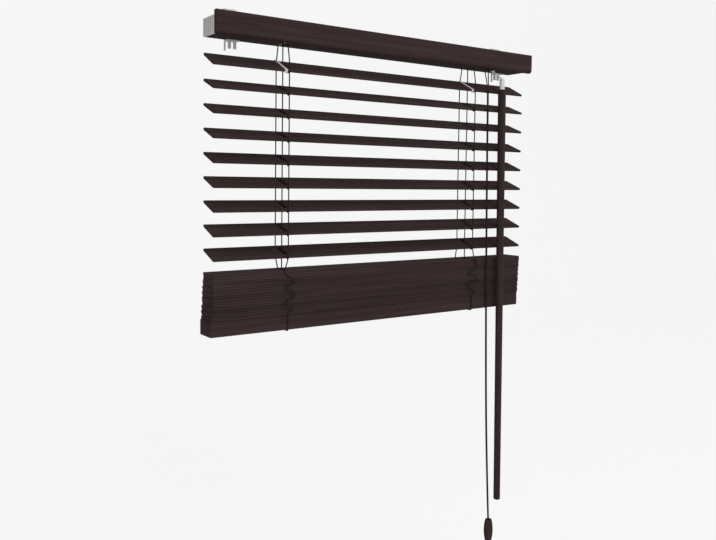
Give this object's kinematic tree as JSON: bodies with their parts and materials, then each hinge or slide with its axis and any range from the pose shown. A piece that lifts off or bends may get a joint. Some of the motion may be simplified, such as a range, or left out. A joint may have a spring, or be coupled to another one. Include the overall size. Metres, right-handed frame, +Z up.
{
  "type": "wooden venetian blind",
  "caption": "Dark brown wooden venetian blind on sash hooks, half lowered, with a front board, tilt wand, ladders, pull cords with a tassel and gathered slats on a bottom rail.",
  "frame": {"origin": "mid-length of the slats, on the top front edge of the sash that the hooks sit on", "axes": "+X along the blind to the right as seen from the room, +Y into the window, +Z up"},
  "size_m": [0.4128, 0.0622, 0.5928],
  "materials": {
    "slat_wood": "stained dark brown, satin lacquer",
    "turned_wood": "stained dark brown, satin lacquer",
    "channel_metal": "dark brown, satin",
    "cap_plastic": "grey, matt",
    "hook_metal": "light grey, satin",
    "pad_rubber": "matt",
    "clip_plastic": "light grey, satin",
    "shaft_steel": "bright drawn",
    "mechanism_plastic": "white, satin",
    "clear_plastic": "clear",
    "roller_brass": "turned",
    "plug_plastic": "dark brown, matt",
    "cord": "braided, matt"
  },
  "bodies": {
    "headrail": {"headrail": "channel_metal", "end_cap_left": "cap_plastic", "end_cap_right": "cap_plastic", "front_board": "slat_wood", "board_clips": "clip_plastic", "hook_left": "hook_metal", "hook_right": "hook_metal", "hook_pads": "pad_rubber", "drum_cradle_left": "mechanism_plastic", "drum_cradle_right": "mechanism_plastic", "tilter_housing": "mechanism_plastic", "lock_housing": "mechanism_plastic", "ladder_left": "cord", "ladder_right": "cord", "lift_cord_left": "cord", "lift_cord_right": "cord"},
    "wand_sleeve": {"wand_sleeve": "clear_plastic"},
    "wand": {"wand_rod": "turned_wood"},
    "tilter_stem": {"tilter_stem": "mechanism_plastic"},
    "tilt_shaft": {"tilt_rod": "shaft_steel", "tilt_drum_left": "mechanism_plastic", "tilt_drum_right": "mechanism_plastic", "worm_gear": "mechanism_plastic"},
    "stack": {"gathered_slat_01": "slat_wood", "gathered_slat_02": "slat_wood", "gathered_slat_03": "slat_wood", "gathered_slat_04": "slat_wood", "gathered_slat_05": "slat_wood", "gathered_slat_06": "slat_wood", "gathered_slat_07": "slat_wood", "gathered_slat_08": "slat_wood", "gathered_slat_09": "slat_wood", "gathered_slat_10": "slat_wood", "gathered_slat_11": "slat_wood", "gathered_slat_12": "slat_wood", "gathered_slat_13": "slat_wood", "gathered_slat_14": "slat_wood", "gathered_slat_15": "slat_wood", "gathered_slat_16": "slat_wood", "gathered_slat_17": "slat_wood", "bottom_rail": "slat_wood", "rail_plugs": "plug_plastic"},
    "pull_cord": {"pull_cord_1": "cord", "pull_cord_2": "cord", "tassel": "turned_wood"},
    "lock_roller": {"lock_roller": "roller_brass"},
    "slat_1": {"slat_1": "slat_wood", "slat_clips": "clip_plastic"},
    "slat_2": {"slat_2": "slat_wood"},
    "slat_3": {"slat_3": "slat_wood"},
    "slat_4": {"slat_4": "slat_wood"},
    "slat_5": {"slat_5": "slat_wood"},
    "slat_6": {"slat_6": "slat_wood"},
    "slat_7": {"slat_7": "slat_wood"},
    "slat_8": {"slat_8": "slat_wood"},
    "slat_9": {"slat_9": "slat_wood"}
  },
  "joints": [
    {"name": "wand_swing", "type": "hinge", "parent": "headrail", "child": "wand_sleeve", "pos_m": [0.1593, -0.03306, -0.04044], "axis": [-1, 0, 0], "range_deg": [0, 30]},
    {"name": "wand_turn", "type": "hinge", "parent": "wand_sleeve", "child": "wand", "pos_m": [0.1593, -0.03306, -0.04044], "axis": [0, 0.0105, 0.9999], "range_deg": [-1800, 1008]},
    {"name": "stem_turn", "type": "hinge", "parent": "headrail", "child": "tilter_stem", "pos_m": [0.1593, -0.03306, -0.04044], "axis": [0, 0.8192, 0.5736], "range_deg": [-1800, 1008]},
    {"name": "tilt_shaft_turn", "type": "hinge", "parent": "headrail", "child": "tilt_shaft", "pos_m": [0.1593, -0.0145, -0.02], "axis": [1, 0, 0], "range_deg": [-85.72, 48.01]},
    {"name": "slat_1_tilt", "type": "hinge", "parent": "headrail", "child": "slat_1", "pos_m": [0, -0.0145, -0.0502], "axis": [1, 0, 0], "range_deg": [-85.72, 48.01]},
    {"name": "slat_2_tilt", "type": "hinge", "parent": "headrail", "child": "slat_2", "pos_m": [0, -0.0145, -0.073], "axis": [1, 0, 0], "range_deg": [-85.72, 48.01]},
    {"name": "slat_3_tilt", "type": "hinge", "parent": "headrail", "child": "slat_3", "pos_m": [0, -0.0145, -0.0958], "axis": [1, 0, 0], "range_deg": [-85.72, 48.01]},
    {"name": "slat_4_tilt", "type": "hinge", "parent": "headrail", "child": "slat_4", "pos_m": [0, -0.0145, -0.1186], "axis": [1, 0, 0], "range_deg": [-85.72, 48.01]},
    {"name": "slat_5_tilt", "type": "hinge", "parent": "headrail", "child": "slat_5", "pos_m": [0, -0.0145, -0.1414], "axis": [1, 0, 0], "range_deg": [-85.72, 48.01]},
    {"name": "slat_6_tilt", "type": "hinge", "parent": "headrail", "child": "slat_6", "pos_m": [0, -0.0145, -0.1642], "axis": [1, 0, 0], "range_deg": [-85.72, 48.01]},
    {"name": "slat_7_tilt", "type": "hinge", "parent": "headrail", "child": "slat_7", "pos_m": [0, -0.0145, -0.187], "axis": [1, 0, 0], "range_deg": [-85.72, 48.01]},
    {"name": "slat_8_tilt", "type": "hinge", "parent": "headrail", "child": "slat_8", "pos_m": [0, -0.0145, -0.2098], "axis": [1, 0, 0], "range_deg": [-85.72, 48.01]},
    {"name": "slat_9_tilt", "type": "hinge", "parent": "headrail", "child": "slat_9", "pos_m": [0, -0.0145, -0.2326], "axis": [1, 0, 0], "range_deg": [-85.72, 48.01]},
    {"name": "lift", "type": "slide", "parent": "headrail", "child": "stack", "axis": [0, 0, 1], "range_m": [-0.0044, 0.004]},
    {"name": "pull_run", "type": "slide", "parent": "headrail", "child": "pull_cord", "axis": [0, 0, 1], "range_m": [-0.004, 0.0044]},
    {"name": "lock_release", "type": "slide", "parent": "headrail", "child": "lock_roller", "axis": [0, 0.5, 0.866], "range_m": [0, 0.002]}
  ],
  "couplings": [
    {"joint": "stem_turn", "follows": "wand_turn", "ratio": 1},
    {"joint": "tilt_shaft_turn", "follows": "wand_turn", "ratio": 0.047619},
    {"joint": "slat_1_tilt", "follows": "wand_turn", "ratio": 0.047619},
    {"joint": "slat_2_tilt", "follows": "wand_turn", "ratio": 0.047619},
    {"joint": "slat_3_tilt", "follows": "wand_turn", "ratio": 0.047619},
    {"joint": "slat_4_tilt", "follows": "wand_turn", "ratio": 0.047619},
    {"joint": "slat_5_tilt", "follows": "wand_turn", "ratio": 0.047619},
    {"joint": "slat_6_tilt", "follows": "wand_turn", "ratio": 0.047619},
    {"joint": "slat_7_tilt", "follows": "wand_turn", "ratio": 0.047619},
    {"joint": "slat_8_tilt", "follows": "wand_turn", "ratio": 0.047619},
    {"joint": "slat_9_tilt", "follows": "wand_turn", "ratio": 0.047619},
    {"joint": "pull_run", "follows": "lift", "ratio": -1}
  ]
}
